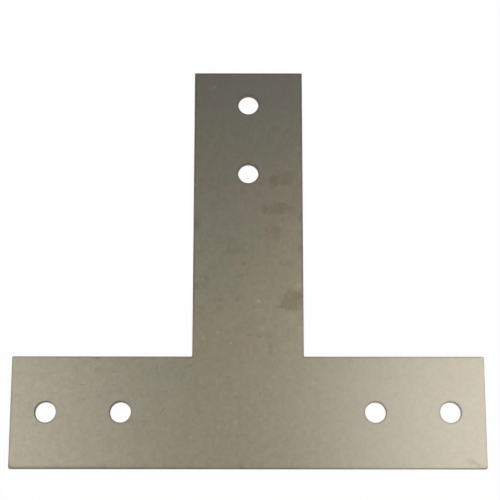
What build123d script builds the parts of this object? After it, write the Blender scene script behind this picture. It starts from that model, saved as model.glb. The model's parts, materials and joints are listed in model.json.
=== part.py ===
from build123d import *
import os

# A flat tee joining plate for aluminium extrusion: one piece of sheet metal cut to a crossbar
# with a stem, and a pair of clearance holes near each of its three free ends.
# The plate lies flat. X runs along the crossbar, Y up the stem and Z through the sheet.
# The origin is on the underside, where the centrelines of the crossbar and the stem cross.

# Driving dimensions, in millimetres.
bar_length = 190.0          # crossbar, end to end
bar_width = 45.0            # crossbar, as wide as the extrusion that it lies on
stem_width = 45.0           # stem, as wide as the extrusion that it lies on
plate_height = 166.0        # from the crossbar's long plain edge to the end of the stem
sheet_thickness = 3.0
bolt_hole = 8.4             # clearance hole for an M8 bolt
hole_pitch = 30.0           # between the two holes of a pair
end_inset = 14.0            # from a free end to the centre of the nearest hole
edge_break = 0.2            # bevel that deburring leaves on a cut edge

# Places that follow from the dimensions.
bar_end = bar_length / 2
bar_side = bar_width / 2
stem_side = stem_width / 2
stem_end = plate_height - bar_side
bar_pair = bar_end - end_inset - hole_pitch / 2
stem_pair = stem_end - end_inset - hole_pitch / 2

with BuildPart() as tee_plate:
    # The blank, cut from sheet along the tee's outline. Deburring takes the sharpness off its
    # six outer corners. The two inner corners, where one cut runs into the other, stay sharp.
    with BuildSketch() as outline:
        with BuildLine():
            Polyline(
                (-bar_end, -bar_side),
                (bar_end, -bar_side),
                (bar_end, bar_side),
                (stem_side, bar_side),
                (stem_side, stem_end),
                (-stem_side, stem_end),
                (-stem_side, bar_side),
                (-bar_end, bar_side),
                close=True,
            )
        make_face()
        plain_edge, shoulder, stem_top = outline.vertices().group_by(Axis.Y)
        shoulder = shoulder.sort_by(Axis.X)
        outer_corners = plain_edge + stem_top + [shoulder[0], shoulder[-1]]
        chamfer(outer_corners, length=edge_break)
    extrude(amount=sheet_thickness)

    # The pairs of bolt holes, along the crossbar's centreline and up the stem's.
    with Locations((-bar_pair, 0), (bar_pair, 0)):
        with GridLocations(hole_pitch, 0, 2, 1):
            Hole(bolt_hole / 2)
    with Locations((0, stem_pair)):
        with GridLocations(0, hole_pitch, 1, 2):
            Hole(bolt_hole / 2)

    # Deburring also bevels the edges of both faces, along the outline and round each hole.
    faces = tee_plate.faces().filter_by(Axis.Z)
    chamfer(faces.edges(), length=edge_break)

tee_plate.part.label = "tee_plate"
os.makedirs("parts", exist_ok=True)
export_step(tee_plate.part, "parts/tee_plate.step")
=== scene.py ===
# A flat tee joining plate for extruded framing, lying on a white table.
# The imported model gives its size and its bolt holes. This script gives it the deburred
# edges, the rolled and handled surface, the table, the light and the camera.

import json
import math

import bmesh
import bpy
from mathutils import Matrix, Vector, geometry, noise


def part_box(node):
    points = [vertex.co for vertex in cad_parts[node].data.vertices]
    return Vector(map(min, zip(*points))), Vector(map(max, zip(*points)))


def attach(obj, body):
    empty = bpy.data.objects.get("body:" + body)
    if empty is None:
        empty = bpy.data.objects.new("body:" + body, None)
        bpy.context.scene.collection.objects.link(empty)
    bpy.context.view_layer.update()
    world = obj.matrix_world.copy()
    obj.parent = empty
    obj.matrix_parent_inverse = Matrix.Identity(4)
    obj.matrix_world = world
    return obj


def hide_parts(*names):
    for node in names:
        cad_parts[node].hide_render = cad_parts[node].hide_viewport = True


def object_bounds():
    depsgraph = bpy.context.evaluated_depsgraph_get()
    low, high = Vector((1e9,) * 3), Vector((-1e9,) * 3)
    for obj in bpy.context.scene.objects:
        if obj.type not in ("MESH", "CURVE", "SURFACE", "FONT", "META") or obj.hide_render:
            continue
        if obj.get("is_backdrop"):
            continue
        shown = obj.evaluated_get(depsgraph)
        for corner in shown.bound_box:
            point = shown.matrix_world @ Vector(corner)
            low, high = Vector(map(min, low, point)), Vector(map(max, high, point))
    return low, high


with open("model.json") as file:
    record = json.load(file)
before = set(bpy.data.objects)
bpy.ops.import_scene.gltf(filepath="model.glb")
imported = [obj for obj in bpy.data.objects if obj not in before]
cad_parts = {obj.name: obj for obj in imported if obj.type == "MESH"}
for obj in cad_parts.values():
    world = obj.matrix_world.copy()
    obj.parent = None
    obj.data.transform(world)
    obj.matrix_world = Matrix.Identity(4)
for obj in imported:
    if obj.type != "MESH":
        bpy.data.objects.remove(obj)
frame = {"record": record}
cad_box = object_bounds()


# ---------------------------------------------------------------------------------------
# THE BLANK
# One piece of 3 mm steel sheet, cut to a tee: a crossbar with a stem of the same width.
# The six outer corners are just taken off and the two inner ones keep the cutter's radius.

low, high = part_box("tee_plate")
half_width = -low.y
half_bar = high.x
stem_end = high.y
sheet = high.z

corner_radius = 0.0004
cut_step = 0.0006
corner_steps = 5


def tee_corners(inset):
    """The tee's eight corners, counter-clockwise, drawn that far inside its edge."""
    side, bar, top = half_width - inset, half_bar - inset, stem_end - inset
    return [
        Vector((-bar, -side)), Vector((bar, -side)), Vector((bar, side)), Vector((side, side)),
        Vector((side, top)), Vector((-side, top)), Vector((-side, side)), Vector((-bar, side)),
    ]


def run_between(start, end, step):
    """Points along a straight cut, from its start up to but not including its end."""
    count = max(1, round((end - start).length / step))
    return [start.lerp(end, i / count) for i in range(count)]


def cut_outline():
    """The cut round the tee: each point with the direction that faces away from the steel."""
    corners = tee_corners(0.0)
    path = []
    for i, corner in enumerate(corners):
        along = (corner - corners[i - 1]).normalized()
        onward = (corners[(i + 1) % len(corners)] - corner).normalized()
        outward = along.cross(onward) > 0
        centre = corner + (onward - along) * corner_radius
        first = Vector((along.y, -along.x)) * (1 if outward else -1)
        turn = math.pi / 2 if outward else -math.pi / 2
        for s in range(corner_steps + 1):
            angle = turn * s / corner_steps
            spoke = Vector((
                first.x * math.cos(angle) - first.y * math.sin(angle),
                first.x * math.sin(angle) + first.y * math.cos(angle),
            ))
            path.append((centre + spoke * corner_radius, spoke if outward else -spoke))
        following = corners[(i + 1) % len(corners)]
        start = corner + onward * corner_radius
        end = following - onward * corner_radius
        path += [(p, Vector((onward.y, -onward.x))) for p in run_between(start, end, cut_step)[1:]]
    return path


# ---------------------------------------------------------------------------------------
# THE BOLT HOLES
# Six plain clearance holes, two near each end of the tee, cut with the outline and
# deburred like it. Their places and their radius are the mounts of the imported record.

hole_steps = 120

hole_centres = []
for mount in frame["record"]["mounts"]:
    if mount["kind"] != "bolt_pattern":
        continue
    sizes = mount["dims"]
    hole_radius = sizes["hole_r_mm"] / 1000
    pitch = Vector((sizes.get("spacing_x_mm", 0.0), sizes.get("spacing_y_mm", 0.0))) / 1000
    middle = Vector(mount["pos_m"][:2])
    hole_centres += [middle - pitch / 2, middle + pitch / 2]


def round_hole(centre, radius, steps=hole_steps):
    """The cut round one hole, clockwise, with the direction that faces away from the steel."""
    path = []
    for s in range(steps):
        angle = -2 * math.pi * s / steps
        spoke = Vector((math.cos(angle), math.sin(angle)))
        path.append((centre + spoke * radius, -spoke))
    return path


# ---------------------------------------------------------------------------------------
# THE CUT EDGE
# The wall that the cutter leaves is not quite flat, and both its rims are broken by hand,
# so the bevel is a little wider in one place than in another. A few knocks dent the rim.

edge_break = 0.0002
edge_hold = 0.00007
break_steps = 3
wall_rows = 4
wall_ripple = 0.00002
# Painted shade beside every cut: how far in it fades, how much wider and stronger it is along the
# front's left, and how much weaker at the right end.
tone_width = 0.0010
front_spread = 0.0005
front_left_darkening = 1.3
# Painted light on the cut wall: how much it gets along the front edge.
front_wall_light = 0.16
right_end_paler = 0.8
beside_edge = 0.002

knocks = [  # where the rim is dented: x, y, length along the edge, depth, all in mm
    (22.5, 81.5, 1.6, 0.22), (22.5, 68.0, 1.9, 0.25), (-22.5, 77.5, 2.2, 0.18),
    (-22.5, 50.5, 1.2, 0.14), (-2.7, -22.5, 1.2, 0.22), (92.8, -22.5, 1.4, 0.12),
    (-22.5, 111.0, 0.9, 0.12), (22.5, 104.0, 1.0, 0.12), (-61.0, 22.5, 1.4, 0.15),
]


def rim_depth(point):
    """How wide the broken edge is here: uneven from the file, and deeper at a knock."""
    uneven = 1 + 0.25 * noise.noise(Vector((point.x, point.y, 0.0)) * 160)
    depth = edge_break * uneven
    for x, y, length, dent in knocks:
        away = (point - Vector((x, y)) / 1000).length / (length / 2000)
        depth += dent / 1000 * math.exp(-away * away)
    return depth


def along_front(point):
    """How far along the front edge's darker left part this is: 0 at the middle, 1 at the left."""
    at_front = point.y < -half_width + beside_edge
    return min(max((-0.015 - point.x) / 0.060, 0.0), 1.0) if at_front else 0.0


def painted_shade_at(point, inset):
    """Painted shade on the face that far from a cut: most at the front's left, least at the bar's
    right end, where the light on the steel is brightest.
    """
    left_share = along_front(point)
    strength = 1.0 + front_left_darkening * left_share
    if point.x > half_bar - beside_edge:
        strength -= right_end_paler
    return max(0.0, 1 - inset / (tone_width + front_spread * left_share)) * strength


def wall_light_at(point):
    """How much painted light the cut wall gets: some along the front edge, and more towards the
    right.
    """
    front = front_wall_light if point.y < -half_width + beside_edge else 0.0
    return min(front + max((point.x - 0.015) / 0.045, 0.0), 1.0)


def edge_rows(point, outward):
    """One slice down the cut edge, from the top face to the bottom face."""
    ripple = wall_ripple * (1 + noise.noise(Vector((point.x, point.y, 0.0)) * 1900)) / 2
    top = rim_depth(point)
    bottom = edge_break
    rows = [(top + edge_hold, sheet)]
    for s in range(break_steps + 1):
        angle = math.pi / 2 * s / break_steps
        rows.append((top * (1 - math.sin(angle)), sheet - top * (1 - math.cos(angle))))
    upper, lower = sheet - top - edge_hold, bottom + edge_hold
    for s in range(wall_rows):
        share = s / (wall_rows - 1)
        inward = ripple if 0 < s < wall_rows - 1 else 0.0
        rows.append((inward, upper + (lower - upper) * share))
    for s in range(break_steps + 1):
        angle = math.pi / 2 * s / break_steps
        rows.append((bottom * (1 - math.cos(angle)), bottom * (1 - math.sin(angle))))
    rows.append((bottom + edge_hold, 0.0))
    return [
        Vector((point.x - outward.x * depth, point.y - outward.y * depth, height))
        for depth, height in rows
    ]


plate = bmesh.new()
painted_rim_shade = plate.verts.layers.float.new("painted_rim_shade")
painted_wall_light = plate.verts.layers.float.new("painted_wall_light")
FACE, EDGE = 0, 1


def cut_wall(path):
    """Bridges the slices round one closed cut and gives back its top and bottom rims."""
    slices = []
    for point, outward in path:
        column = [plate.verts.new(place) for place in edge_rows(point, outward)]
        for vertex in column:
            vertex[painted_rim_shade] = painted_shade_at(point, 0.0)
            vertex[painted_wall_light] = wall_light_at(point)
        slices.append(column)
    for here, following in zip(slices, slices[1:] + slices[:1]):
        for row in range(len(here) - 1):
            quad = plate.faces.new((here[row], here[row + 1], following[row + 1], following[row]))
            quad.material_index = EDGE if 0 < row < len(here) - 2 else FACE
            quad.smooth = True
    return [c[0] for c in slices], [c[-1] for c in slices]


cuts = [cut_wall(cut_outline())] + [cut_wall(round_hole(c, hole_radius)) for c in hole_centres]


# ---------------------------------------------------------------------------------------
# THE TWO FACES
# The sheet's rolled faces, flat between the cuts. Three lines of points follow each cut a little
# way in, so that the painted shade beside an edge has somewhere to fade out.

tone_lines = [0.0005, 0.0010, 0.0015]
tone_ring_steps = 72
face_step = 0.003
knock_clearance = 0.0006


def clear_of_cuts(point, margin):
    """True where the nearest cut is at least that far away."""
    x, y = abs(point.x), point.y
    in_bar = x < half_bar - margin and -half_width + margin < y < half_width - margin
    in_stem = x < half_width - margin and -half_width + margin < y < stem_end - margin
    clear = all((point - c).length > hole_radius + margin for c in hole_centres)
    return (in_bar or in_stem) and clear


def by_a_knock(point):
    """True beside a knock, where the rim reaches further into the face."""
    spots = [(Vector((x, y)) / 1000, length / 1000) for x, y, length, _ in knocks]
    return any((point - spot).length < length + knock_clearance for spot, length in spots)


def face_layout():
    """Fresh points inside the face, with their tone, and the lines that tie some of them."""
    points, tones, lines = [], [], []
    for inset in tone_lines:
        corners = tee_corners(inset)
        tee = []
        for start, end in zip(corners, corners[1:] + corners[:1]):
            tee += run_between(start, end, cut_step * 1.5)
        rings = [tee]
        for centre in hole_centres:
            ring = round_hole(centre, hole_radius + inset, tone_ring_steps)
            rings.append([p for p, _ in ring])
        for ring in rings:
            first = len(points)
            free = [not by_a_knock(p) for p in ring]
            numbers = [first + sum(free[:i]) for i in range(len(ring))]
            points += [p for p, kept in zip(ring, free) if kept]
            tones += [painted_shade_at(p, inset) for p, kept in zip(ring, free) if kept]
            for i in range(len(ring)):
                after = (i + 1) % len(ring)
                if free[i] and free[after]:
                    lines.append((numbers[i], numbers[after]))
    for i in range(int(half_bar * 2 / face_step)):
        for j in range(int((stem_end + half_width) / face_step)):
            shift = 0.5 if j % 2 else 0.0
            spot = Vector((-half_bar + (i + shift) * face_step, -half_width + j * face_step))
            if clear_of_cuts(spot, tone_lines[-1] * 1.4):
                points.append(spot)
                tones.append(0.0)
    return points, tones, lines


def off_the_steel(triangle, owners):
    """True for a triangle across a hole or past the outline: one cut's rim, taken backwards."""
    if any(i >= len(owners) for i in triangle):
        return False
    (rim, a), (rim_b, b), (rim_c, c) = (owners[i] for i in triangle)
    return rim == rim_b == rim_c and not (a < b < c or b < c < a or c < a < b)


def lay_face(rims, height, upward):
    """Fills the sheet's face at that height between the rims of all its cuts."""
    points, tones, lines = face_layout()
    rim_verts = [v for rim in rims for v in rim]
    owners = [(number, i) for number, rim in enumerate(rims) for i in range(len(rim))]
    flat = [v.co.xy for v in rim_verts]
    edges = []
    for rim in rims:
        first = sum(len(r) for r in rims[:rims.index(rim)])
        edges += [(first + i, first + (i + 1) % len(rim)) for i in range(len(rim))]
    edges += [(a + len(flat), b + len(flat)) for a, b in lines]
    placed, _, triangles, origins, _, _ = geometry.delaunay_2d_cdt(
        flat + points, edges, [], 0, 1e-7
    )
    corners = []
    for place, origin in zip(placed, origins):
        if origin and origin[0] < len(rim_verts):
            corners.append(rim_verts[origin[0]])
            continue
        vertex = plate.verts.new((place.x, place.y, height))
        vertex[painted_rim_shade] = tones[origin[0] - len(rim_verts)] if origin else 0.0
        corners.append(vertex)
    for triangle in triangles:
        if off_the_steel([origins[i][0] for i in triangle], owners):
            continue
        order = triangle if upward else triangle[::-1]
        face = plate.faces.new([corners[i] for i in order])
        face.material_index = FACE
        face.smooth = True


lay_face([top for top, _ in cuts], sheet, True)
lay_face([bottom for _, bottom in cuts], 0.0, False)
bmesh.ops.delete(plate, geom=[v for v in plate.verts if not v.link_faces], context="VERTS")
bmesh.ops.recalc_face_normals(plate, faces=plate.faces)

mesh = bpy.data.meshes.new("joining_plate")
plate.to_mesh(mesh)
plate.free()
joining_plate = bpy.data.objects.new("joining_plate", mesh)
bpy.context.scene.collection.objects.link(joining_plate)
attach(joining_plate, "root")
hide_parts("tee_plate")


# ---------------------------------------------------------------------------------------
# ROLLED STEEL
# Bare mill-finished sheet, warm grey and satin. The rolls leave a fine grain along the stem, the
# light picks out specks in it, and a painted shade darkens it beside every cut.


def place(tree, kind, **settings):
    """A new shader node with its settings."""
    made = tree.nodes.new(kind)
    for name, value in settings.items():
        setattr(made, name, value)
    return made


def wire(tree, source, target):
    """Joins an output socket to an input socket."""
    tree.links.new(source, target)


def sums(tree, operation, first, second=None, clamp=False):
    """A maths node whose inputs are sockets or plain numbers. Gives its output."""
    made = place(tree, "ShaderNodeMath", operation=operation, use_clamp=clamp)
    for slot_number, value in enumerate((first, second)):
        if value is None:
            continue
        if isinstance(value, (int, float)):
            made.inputs[slot_number].default_value = value
        else:
            wire(tree, value, made.inputs[slot_number])
    return made.outputs[0]


def new_group(name, inputs, outputs):
    """A shader node group with named inputs and outputs, and its two ends."""
    group = bpy.data.node_groups.new(name, "ShaderNodeTree")
    for label, kind, value in inputs:
        socket = group.interface.new_socket(label, in_out="INPUT", socket_type=kind)
        if value is not None:
            socket.default_value = value
    for label, kind in outputs:
        group.interface.new_socket(label, in_out="OUTPUT", socket_type=kind)
    return group, place(group, "NodeGroupInput"), place(group, "NodeGroupOutput")


FLOAT, VECTOR = "NodeSocketFloat", "NodeSocketVector"


def stretched(tree, vector, scale, shift=(0.0, 0.0, 0.0)):
    """The coordinates multiplied and moved, to make a pattern finer one way than another."""
    made = place(tree, "ShaderNodeVectorMath", operation="MULTIPLY_ADD")
    wire(tree, vector, made.inputs[0])
    made.inputs[1].default_value = scale
    made.inputs[2].default_value = shift
    return made.outputs[0]


def noise_at(tree, vector, scale, detail=2.0, rough=0.5):
    """A noise pattern from -1 to 1 about its middle."""
    made = place(tree, "ShaderNodeTexNoise")
    wire(tree, vector, made.inputs["Vector"])
    made.inputs["Scale"].default_value = scale
    made.inputs["Detail"].default_value = detail
    made.inputs["Roughness"].default_value = rough
    return sums(tree, "MULTIPLY", sums(tree, "SUBTRACT", made.outputs["Fac"], 0.5), 2.0)


def ramp(tree, value, start_at, full_at):
    """A smooth step from 0 at one value to 1 at another."""
    made = place(tree, "ShaderNodeMapRange", interpolation_type="SMOOTHSTEP")
    wire(tree, value, made.inputs["Value"])
    for name, number in (
        ("From Min", start_at), ("From Max", full_at), ("To Min", 0.0), ("To Max", 1.0)
    ):
        made.inputs[name].default_value = number
    return made.outputs["Result"]


mill_surface, start, end = new_group(
    "mill_surface",
    [("Millimetres", VECTOR, None)],
    [("Grain", FLOAT), ("Mottle", FLOAT), ("Tint", FLOAT), ("Ragged", FLOAT)],
)
for number, (output, scale, detail, rough) in enumerate((
    ("Grain", (2.0, 0.35, 1.0), 2.0, 0.6),
    ("Mottle", (0.46, 0.40, 0.46), 4.0, 0.86),
    ("Tint", (0.12, 0.10, 0.10), 3.0, 0.6),
    ("Ragged", (0.45, 0.45, 0.45), 3.0, 0.7),
)):
    spot = stretched(
        mill_surface, start.outputs["Millimetres"], scale, (7.3 * number, 3.1 * number, 0.0)
    )
    wire(mill_surface, noise_at(mill_surface, spot, 1.0, detail, rough), end.inputs[output])


# Smudges: thin brownish films of oil and fingers, mostly on the stem, and thin dark lines of
# painted shade along the stem's two sides. Each is an oval of its own length, width and lean with
# a ragged edge, and some have a darker heart.

MARK_INPUTS = [
    ("Plan", VECTOR, None), ("Along", VECTOR, None), ("Across", VECTOR, None),
    ("Strength", FLOAT, 1.0),
]


def laid_over(tree, ends):
    """How far a point lies along and across one mark, as shares of the mark's half size."""
    shares = []
    for axis in ("Along", "Across"):
        made = place(tree, "ShaderNodeVectorMath", operation="DOT_PRODUCT")
        wire(tree, ends.outputs["Plan"], made.inputs[0])
        wire(tree, ends.outputs[axis], made.inputs[1])
        shares.append(made.outputs["Value"])
    return shares


smudge, start, end = new_group(
    "smudge", MARK_INPUTS + [("Ragged", FLOAT, 0.0)], [("Mask", FLOAT)]
)
squares = [sums(smudge, "MULTIPLY", share, share) for share in laid_over(smudge, start)]
rim = sums(
    smudge, "ADD", sums(smudge, "SQRT", sums(smudge, "ADD", *squares)),
    sums(smudge, "MULTIPLY", start.outputs["Ragged"], 0.9),
)
wire(
    smudge,
    sums(smudge, "MULTIPLY", ramp(smudge, rim, 1.15, 0.35), start.outputs["Strength"]),
    end.inputs["Mask"],
)

film_marks_and_rim_shade = [  # x, y, length, width, in mm; lean in degrees; strength
    (10.7, 96.4, 7.4, 4.2, 88, 0.95), (15.4, 97.6, 10.0, 6.6, 5, 0.68),
    (15.5, 95.2, 7.0, 2.0, 4, 0.48), (6.0, 96.0, 5.0, 5.0, 0, 0.20),
    (12.5, 84.6, 14.0, 5.2, 2, 0.90), (14.4, 85.3, 5.2, 3.4, 5, 0.45),
    (13.5, 82.7, 9.5, 1.9, 2, 0.60), (6.5, 84.0, 3.4, 4.4, 0, 0.40),
    (14.2, 79.4, 2.6, 2.6, 0, 0.75), (10.8, 74.4, 8.6, 6.4, -25, 0.65),
    (11.6, 74.0, 3.2, 3.4, 0, 0.15), (11.0, 71.2, 5.4, 3.0, 0, 0.32),
    (8.0, 69.0, 2.8, 3.2, 0, 0.25), (5.4, 72.4, 3.4, 3.0, 0, 0.30),
    (21.4, 79.8, 2.2, 4.0, 0, 0.45), (21.4, 67.6, 2.2, 3.2, 0, 0.25),
    (-20.8, 76.6, 2.2, 4.0, 0, 0.08), (-21.0, 80.0, 3.0, 5.0, 0, 0.35),
    (-19.2, 96.8, 3.0, 3.0, 0, 0.35), (-16.4, 72.8, 2.4, 2.2, 0, 0.15),
    (-20.0, 66.0, 3.0, 2.6, 0, 0.30), (-6.0, 66.0, 11.0, 4.2, 3, 0.45),
    (-11.5, 70.1, 5.0, 1.4, 4, 0.40), (-6.0, 70.4, 5.0, 4.0, 0, 0.20),
    # The long thin marks at x -22.1 and 22.1 mm, here and below, are painted shade along the
    # stem's sides.
    (17.0, 61.4, 5.4, 4.6, 0, 0.28), (-22.1, 131.0, 1.5, 25.0, 0, 1.25),
    (13.8, 61.2, 2.6, 2.2, 0, 0.35), (18.4, 45.8, 13.0, 10.6, 35, 0.98),
    (15.2, 45.2, 5.0, 4.8, -45, 0.66), (17.2, 42.6, 8.0, 2.2, -4, 0.10),
    (13.0, 42.8, 5.0, 2.6, 10, 0.35), (-3.6, 55.8, 6.4, 1.8, 16, 0.55),
    (-1.8, 61.2, 2.4, 2.2, 0, 0.75), (-7.0, 61.9, 5.0, 1.8, -15, 0.15),
    (-18.0, 52.4, 4.8, 4.0, 0, 0.45), (-16.8, 54.8, 3.4, 1.8, 0, 0.40),
    (-21.0, 51.4, 3.2, 3.2, 0, 0.85), (-4.2, 46.6, 2.0, 3.8, 0, 0.40),
    (-11.0, 46.0, 3.8, 2.0, 0, 0.50), (-14.5, 40.2, 3.6, 1.8, 0, 0.20),
    (-20.0, 40.0, 3.0, 2.2, 0, 0.30), (-18.6, 42.8, 3.6, 3.0, 0, 0.30),
    (-12.0, 42.6, 1.8, 3.2, 0, 0.30), (4.4, 31.6, 3.2, 3.4, 0, 0.35),
    (1.0, 31.4, 3.0, 1.8, 0, 0.50), (9.2, 31.0, 5.6, 3.8, 0, 0.45),
    (9.2, 26.0, 3.2, 8.4, 5, 0.50), (22.1, 130.0, 1.3, 24.0, 0, 0.40),
    (-23.6, 18.7, 5.0, 1.9, 25, 0.55),
    (-36.6, 18.0, 1.6, 5.0, 0, 0.30), (-53.5, 16.5, 3.6, 1.9, 0, 0.50),
    (-64.5, 20.6, 3.6, 2.2, 0, 0.20), (-60.0, 17.0, 7.0, 1.5, -20, 0.30),
    (-65.6, 5.3, 2.8, 2.0, 0, 0.25), (-59.7, 6.3, 3.2, 2.0, 0, 0.25),
    (-62.7, 12.2, 2.6, 1.8, 0, 0.20), (-41.7, -3.8, 3.6, 1.8, 0, 0.35),
    (-46.5, -16.8, 3.2, 1.8, 0, 0.20), (7.7, 18.5, 3.0, 2.2, 0, 0.35),
    (-4.8, 6.0, 2.8, 2.2, 0, 0.32), (27.6, 7.3, 3.6, 1.8, 0, 0.20),
    (33.0, 16.2, 3.6, 1.8, 0, 0.12), (40.5, 20.8, 3.0, 1.8, 0, 0.15),
    (22.1, 64.0, 1.2, 38.0, 0, 0.45), (-22.1, 106.0, 1.3, 30.0, 0, 0.95),
    (-22.1, 56.0, 1.2, 38.0, 0, 0.75), (22.1, 112.0, 1.3, 16.0, 0, 0.45),
    (88.6, -19.4, 4.2, 3.4, 0, 0.26), (90.8, -20.6, 4.6, 1.6, -30, 0.26),
    (94.3, -22.0, 1.6, 1.5, 0, 0.65), (-2.5, -22.2, 2.0, 1.6, 0, 0.05),
]

flecks = [  # the same, for spots where the light catches the steel
    (4.4, 45.3, 2.0, 1.7, 0, 0.95), (6.3, 46.3, 1.4, 1.4, 0, 0.60),
    (4.7, 47.8, 3.0, 1.4, 0, 0.42), (4.8, 41.8, 2.8, 1.2, 0, 0.25),
    (-12.2, 32.5, 1.9, 1.5, 0, 0.48), (-10.2, 32.5, 1.3, 1.3, 0, 0.50),
    (-18.0, 30.0, 2.0, 2.0, 0, 0.65), (-7.0, 27.8, 1.5, 1.3, 0, 0.50),
    (6.0, 34.0, 3.0, 2.0, 0, 0.38), (8.0, 37.0, 1.8, 2.2, 0, 0.15),
    (-5.6, 36.0, 2.8, 1.8, 0, 0.30), (3.8, 7.0, 1.0, 3.0, 0, 0.30),
    (20.6, 51.6, 3.6, 2.8, 0, 0.40), (14.8, 67.3, 1.8, 1.5, 0, 0.45),
    (11.0, 66.0, 2.4, 1.5, 0, 0.25), (13.6, 77.4, 1.8, 1.2, 0, 0.25),
    (-13.9, 137.4, 2.2, 1.1, 38, 1.15), (-15.6, 136.5, 2.0, 1.2, 10, 0.45),
    (20.8, 110.4, 1.6, 1.6, 0, 0.85), (-31.4, 4.0, 1.6, 2.0, 0, 0.55),
    (-11.5, -5.7, 2.2, 2.0, 0, 0.45), (-8.6, -6.2, 1.8, 1.4, 0, 0.12),
    (-5.0, -3.9, 2.2, 1.9, 0, 0.50), (5.2, -3.0, 2.2, 1.6, 0, 0.65),
    (6.6, -6.4, 2.0, 1.6, 0, 0.45), (-22.8, -10.3, 1.9, 1.5, 0, 0.40),
    (1.6, 4.4, 1.2, 2.2, 0, 0.30), (-35.0, 20.0, 2.2, 1.5, 20, 0.20),
    (26.0, 12.0, 1.5, 5.0, 0, 0.25), (69.0, 9.0, 1.7, 1.6, 0, 0.20),
    (79.8, 8.0, 1.2, 1.2, 0, 0.35), (-73.0, 8.0, 5.5, 1.0, 6, 0.15),
    (-84.6, 10.9, 2.0, 1.5, 0, 0.25),
]


# Washes: where the whole surface is a little greener, cooler or calmer, without an edge.

green_washes = [
    (0.0, 116.0, 70.0, 56.0, 0, 0.50), (-15.0, 72.0, 30.0, 66.0, 0, 0.50),
    (1.0, 73.0, 14.0, 18.0, 0, 0.45), (-34.0, 15.0, 24.0, 16.0, 0, 0.35),
    (-86.0, 2.0, 18.0, 16.0, 0, 0.35), (66.0, 0.0, 26.0, 46.0, 0, 0.20),
    (90.0, -20.0, 11.0, 7.0, -20, 0.80),
    (16.0, 68.0, 18.0, 50.0, 0, -0.35), (-4.0, 28.0, 34.0, 22.0, 0, -0.25),
]

cool_washes = [
    (0.0, 148.0, 90.0, 62.0, 0, 0.80), (0.0, 112.0, 90.0, 90.0, 0, 0.25),
    (84.0, 0.0, 150.0, 90.0, 0, 0.48), (-88.0, 0.0, 140.0, 90.0, 0, 0.28),
]

calm_washes = [(84.0, 0.0, 150.0, 90.0, 0, 0.42), (0.0, 148.0, 90.0, 70.0, 0, 0.35)]


# Scratches: short fine lines where another plate was dragged across the stack.

fine_scratch, start, end = new_group("fine_scratch", MARK_INPUTS, [("Mask", FLOAT)])
tapers = [
    ramp(fine_scratch, sums(fine_scratch, "ABSOLUTE", share), 1.0, inner)
    for share, inner in zip(laid_over(fine_scratch, start), (0.3, 0.1))
]
wire(
    fine_scratch,
    sums(
        fine_scratch, "MULTIPLY", sums(fine_scratch, "MULTIPLY", *tapers),
        start.outputs["Strength"],
    ),
    end.inputs["Mask"],
)

scratches = [  # x, y, length, width, in mm; lean in degrees; strength
    (-34.0, 0.7, 5.5, 1.0, 48, 1.10), (-66.2, 11.0, 5.0, 0.9, 8, 1.10),
    (-70.2, 9.6, 4.0, 0.9, 6, 1.20), (-77.0, 7.8, 6.0, 0.8, 12, 0.70),
    (-27.9, 0.0, 1.2, 1.8, 0, 0.80), (4.8, 7.0, 0.9, 3.2, 0, 0.60),
]


def put_group(tree, group, millimetres):
    """Places a node group in a material, fed by the coordinates."""
    made = place(tree, "ShaderNodeGroup", node_tree=group)
    wire(tree, millimetres, made.inputs[0])
    return made


def marks_together(tree, group, plan, marks, ragged=None):
    """All the marks of one kind as a single mask."""
    total = None
    for x, y, length, width, lean, strength in marks:
        mark = put_group(tree, group, plan)
        mark.inputs["Strength"].default_value = strength
        turn = Vector((math.cos(math.radians(lean)), math.sin(math.radians(lean))))
        for axis, way, size in (
            ("Along", turn, length), ("Across", Vector((-turn.y, turn.x)), width)
        ):
            step = way / (size / 2)
            mark.inputs[axis].default_value = (step.x, step.y, -step.dot(Vector((x, y))))
        if ragged:
            wire(tree, ragged, mark.inputs["Ragged"])
        mask = mark.outputs["Mask"]
        total = mask if total is None else sums(tree, "ADD", total, mask)
    return sums(tree, "MINIMUM", total, 1.3)


def new_material(name):
    """An empty node material with its shader, its output and coordinates in millimetres."""
    material = bpy.data.materials.new(name)
    material.use_nodes = True
    tree = material.node_tree
    tree.nodes.clear()
    shader = place(tree, "ShaderNodeBsdfPrincipled")
    wire(tree, shader.outputs[0], place(tree, "ShaderNodeOutputMaterial").inputs["Surface"])
    own = place(tree, "ShaderNodeTexCoord")
    return material, tree, shader, stretched(tree, own.outputs["Object"], (1000.0,) * 3)


def mixed(tree, share, first, second, blend="MIX"):
    """One colour worked over another by a mask. The colours are sockets or plain colours."""
    made = place(tree, "ShaderNodeMix", data_type="RGBA", blend_type=blend)
    for index, value in ((0, share), (6, first), (7, second)):
        if hasattr(value, "is_output"):
            wire(tree, value, made.inputs[index])
        else:
            made.inputs[index].default_value = value
    return made.outputs[2]


warm_steel = (0.520, 0.449, 0.326, 1.0)
green_steel = (0.485, 0.462, 0.342, 1.0)
cool_steel = (0.492, 0.455, 0.400, 1.0)
film_and_shade_colour = (0.393, 0.331, 0.236, 1.0)
fleck_colour = (0.640, 0.590, 0.470, 1.0)
usual_warmth = 0.55
warmth_drift = 0.7
scratch_shade = 0.60
painted_shade_amount = 0.18
mottle_shade = 0.27
grain_shade = 0.012
grain_depth = 0.000004
face_roughness = 0.286
grain_roughness = 0.009
stain_roughness = 0.03

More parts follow.
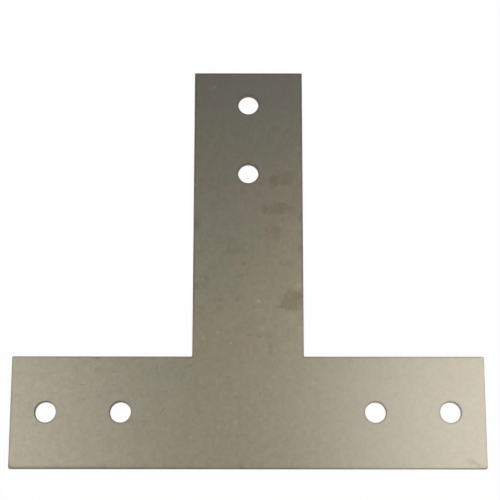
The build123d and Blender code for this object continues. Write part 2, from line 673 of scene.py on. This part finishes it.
rolled_steel, tree, shader, millimetres = new_material("rolled_steel")
surface = put_group(tree, mill_surface, millimetres)
ragged = surface.outputs["Ragged"]
heights = place(tree, "ShaderNodeSeparateXYZ")
wire(tree, millimetres, heights.inputs[0])
upper_face = sums(tree, "GREATER_THAN", heights.outputs["Z"], sheet / 2 * 1000)
plan = stretched(tree, millimetres, (1.0, 1.0, 0.0), (0.0, 0.0, 1.0))
drift = surface.outputs["Tint"]
greener = marks_together(tree, smudge, plan, green_washes, drift)
warmth = sums(tree, "SUBTRACT", sums(tree, "MULTIPLY", drift, warmth_drift), greener)
warmth = sums(tree, "ADD", warmth, usual_warmth, clamp=True)
colour = mixed(tree, warmth, green_steel, warm_steel)
colour = mixed(tree, marks_together(tree, smudge, plan, cool_washes), colour, cool_steel)
# Smudges, with the painted shade along the stem's sides, on the upper face.
smudge_and_rim_shade = sums(
    tree, "MULTIPLY", marks_together(tree, smudge, plan, film_marks_and_rim_shade, ragged), upper_face
)
colour = mixed(tree, smudge_and_rim_shade, colour, film_and_shade_colour)
scratch = sums(
    tree, "MULTIPLY", marks_together(tree, fine_scratch, plan, scratches), upper_face
)
colour = mixed(tree, sums(tree, "MULTIPLY", scratch, scratch_shade), colour, film_and_shade_colour)
bright = sums(
    tree, "MULTIPLY", marks_together(tree, smudge, plan, flecks, ragged), upper_face
)
colour = mixed(tree, bright, colour, fleck_colour)
# Painted shade beside every cut: the colour is darkened by the attribute laid on the mesh.
painted_shade_attribute = place(tree, "ShaderNodeAttribute", attribute_name="painted_rim_shade")
level = sums(tree, "SUBTRACT", 1.0, sums(tree, "MULTIPLY", painted_shade_attribute.outputs["Fac"], painted_shade_amount))
calmer = marks_together(tree, smudge, plan, calm_washes)
strong = sums(tree, "MULTIPLY", sums(tree, "SUBTRACT", 1.0, calmer), mottle_shade)
for output, amount in (("Mottle", strong), ("Grain", grain_shade)):
    level = sums(tree, "ADD", level, sums(tree, "MULTIPLY", surface.outputs[output], amount))
shade = place(tree, "ShaderNodeCombineColor")
for channel in range(3):
    wire(tree, level, shade.inputs[channel])
colour = mixed(tree, 1.0, colour, shade.outputs[0], "MULTIPLY")
wire(tree, colour, shader.inputs["Base Color"])
shader.inputs["Metallic"].default_value = 1.0
finish = sums(tree, "MULTIPLY", surface.outputs["Grain"], grain_roughness)
finish = sums(tree, "ADD", face_roughness, finish)
finish = sums(tree, "ADD", finish, sums(tree, "MULTIPLY", smudge_and_rim_shade, stain_roughness))
wire(tree, finish, shader.inputs["Roughness"])
relief = place(tree, "ShaderNodeBump")
relief.inputs["Strength"].default_value = 0.12
relief.inputs["Distance"].default_value = grain_depth
wire(tree, surface.outputs["Grain"], relief.inputs["Height"])
wire(tree, relief.outputs[0], shader.inputs["Normal"])
mesh.materials.append(rolled_steel)


# ---------------------------------------------------------------------------------------
# CUT STEEL
# The wall of the outline and of the holes: darker and duller than the face, with the fine
# upright lines that the cutter leaves through the thickness of the sheet.

cut_colour = (0.150, 0.138, 0.113, 1.0)
cut_dark = (0.088, 0.082, 0.068, 1.0)
# The lighter colour that paints light onto the wall.
cut_painted_light_colour = (0.330, 0.302, 0.245, 1.0)
wall_roughness = 0.55
line_roughness = 0.08
line_depth = 0.00003

cut_steel, tree, shader, millimetres = new_material("cut_steel")
lines = noise_at(tree, stretched(tree, millimetres, (3.4, 3.4, 0.25)), 1.0, 3.0, 0.6)
patch = noise_at(tree, stretched(tree, millimetres, (0.16, 0.16, 0.5)), 1.0, 3.0, 0.6)
dark = sums(tree, "ADD", sums(tree, "MULTIPLY", lines, 0.35), sums(tree, "MULTIPLY", patch, 0.6))
colour = mixed(tree, sums(tree, "ADD", 0.35, dark, clamp=True), cut_colour, cut_dark)
# Painted light: the wall is made lighter along the front edge and more so towards the right.
wall_light_share = place(tree, "ShaderNodeAttribute", attribute_name="painted_wall_light")
wall_light_share = sums(tree, "ADD", wall_light_share.outputs["Fac"], sums(tree, "MULTIPLY", dark, -0.3), clamp=True)
colour = mixed(tree, wall_light_share, colour, cut_painted_light_colour)
wire(tree, colour, shader.inputs["Base Color"])
shader.inputs["Metallic"].default_value = 1.0
finish = sums(tree, "ADD", wall_roughness, sums(tree, "MULTIPLY", lines, line_roughness))
wire(tree, finish, shader.inputs["Roughness"])
relief = place(tree, "ShaderNodeBump")
relief.inputs["Strength"].default_value = 0.6
relief.inputs["Distance"].default_value = line_depth
wire(tree, lines, relief.inputs["Height"])
wire(tree, relief.outputs[0], shader.inputs["Normal"])
mesh.materials.append(cut_steel)


# ---------------------------------------------------------------------------------------
# TABLE AND BACKDROP
# A white table whose far side sweeps up into a wall all round. It is white wherever it is
# seen, directly or in the steel, and keeps a trace of the plate's shadow.

table_radius = 1.9
sweep_radius = 0.5
sweep_steps = 8
wall_height = 1.5
rim_count = 96

sweep = bmesh.new()
profile = [(0.0, 0.0), (table_radius * 0.35, 0.0), (table_radius, 0.0)]
for s in range(1, sweep_steps + 1):
    angle = math.pi / 2 * s / sweep_steps
    profile.append((
        table_radius + sweep_radius * math.sin(angle), sweep_radius * (1 - math.cos(angle))
    ))
profile.append((table_radius + sweep_radius, sweep_radius + wall_height))
hub = sweep.verts.new((0.0, 0.0, 0.0))
rings = []
for radius, height in profile[1:]:
    ring = []
    for s in range(rim_count):
        angle = 2 * math.pi * s / rim_count
        ring.append(sweep.verts.new((radius * math.cos(angle), radius * math.sin(angle), height)))
    rings.append(ring)
for s in range(rim_count):
    after = (s + 1) % rim_count
    sweep.faces.new((hub, rings[0][s], rings[0][after]))
    for inner, outer in zip(rings, rings[1:]):
        sweep.faces.new((inner[s], outer[s], outer[after], inner[after])).smooth = True
sweep_mesh = bpy.data.meshes.new("table")
sweep.to_mesh(sweep_mesh)
sweep.free()
table = bpy.data.objects.new("table", sweep_mesh)
bpy.context.scene.collection.objects.link(table)
table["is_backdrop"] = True

shadow_share = 0.05

white_table = bpy.data.materials.new("white_table")
white_table.use_nodes = True
tree = white_table.node_tree
tree.nodes.clear()
paint = place(tree, "ShaderNodeBsdfDiffuse")
paint.inputs["Color"].default_value = (0.90, 0.90, 0.90, 1.0)
glow = place(tree, "ShaderNodeEmission")
glow.inputs["Strength"].default_value = 1.02
rays = place(tree, "ShaderNodeLightPath")
seen = sums(tree, "MAXIMUM", rays.outputs["Is Camera Ray"], rays.outputs["Is Glossy Ray"])
seen = sums(tree, "MAXIMUM", seen, rays.outputs["Is Transmission Ray"])
blend = place(tree, "ShaderNodeMixShader")
wire(tree, sums(tree, "MULTIPLY", seen, 1 - shadow_share), blend.inputs["Fac"])
wire(tree, paint.outputs[0], blend.inputs[1])
wire(tree, glow.outputs[0], blend.inputs[2])
wire(tree, blend.outputs[0], place(tree, "ShaderNodeOutputMaterial").inputs["Surface"])
sweep_mesh.materials.append(white_table)


# ---------------------------------------------------------------------------------------
# LIGHT
# Two soft boxes hang either side of the plate and one behind the camera, in the open top
# of the tent. The room seen between them is dim, and that is the darker part of the steel.

soft_boxes = {  # where each hangs, its width and depth in metres, its brightness with white as 1
    "right_box": ((0.607, 0.167, 1.257), 0.62, 0.98, 1.76),
    "left_box": ((-0.564, 0.031, 1.108), 0.69, 0.84, 1.10),
    "front_box": ((0.0, -0.85, 1.05), 1.20, 0.60, 1.00),
}
plate_middle = Vector((0.0, (low.y + high.y) / 2, sheet))

for name, (stand, width, depth, brightness) in soft_boxes.items():
    lamp = bpy.data.lights.new(name, "AREA")
    lamp.shape = "RECTANGLE"
    lamp.size, lamp.size_y = width, depth
    lamp.energy = brightness * math.pi * width * depth
    box = bpy.data.objects.new(name, lamp)
    box.location = stand
    box.rotation_euler = (plate_middle - Vector(stand)).to_track_quat("-Z", "Y").to_euler()
    bpy.context.scene.collection.objects.link(box)

room_level = 0.14

room = bpy.data.worlds.new("room")
room.use_nodes = True
room.node_tree.nodes["Background"].inputs["Color"].default_value = (1.0, 1.0, 1.0, 1.0)
room.node_tree.nodes["Background"].inputs["Strength"].default_value = room_level
bpy.context.scene.world = room


# ---------------------------------------------------------------------------------------
# CAMERA
# A long lens above the crossbar, leaning a little so that it looks up the stem.

camera_place = (0.0009, -0.0861, 0.6200)
camera_lean = math.radians(13.91)
camera_turn = math.radians(0.057)
camera_lens = 111.7

view = bpy.data.cameras.new("view")
view.lens = camera_lens
view.sensor_width = 36.0
camera = bpy.data.objects.new("camera", view)
camera.location = camera_place
camera.rotation_euler = (camera_lean, 0.0, camera_turn)
bpy.context.scene.collection.objects.link(camera)
bpy.context.scene.camera = camera
bpy.context.scene.view_settings.view_transform = "Standard"

boxes = {"cad": cad_box, "visual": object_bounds()}
{name: [list(corner) for corner in box] for name, box in boxes.items()}
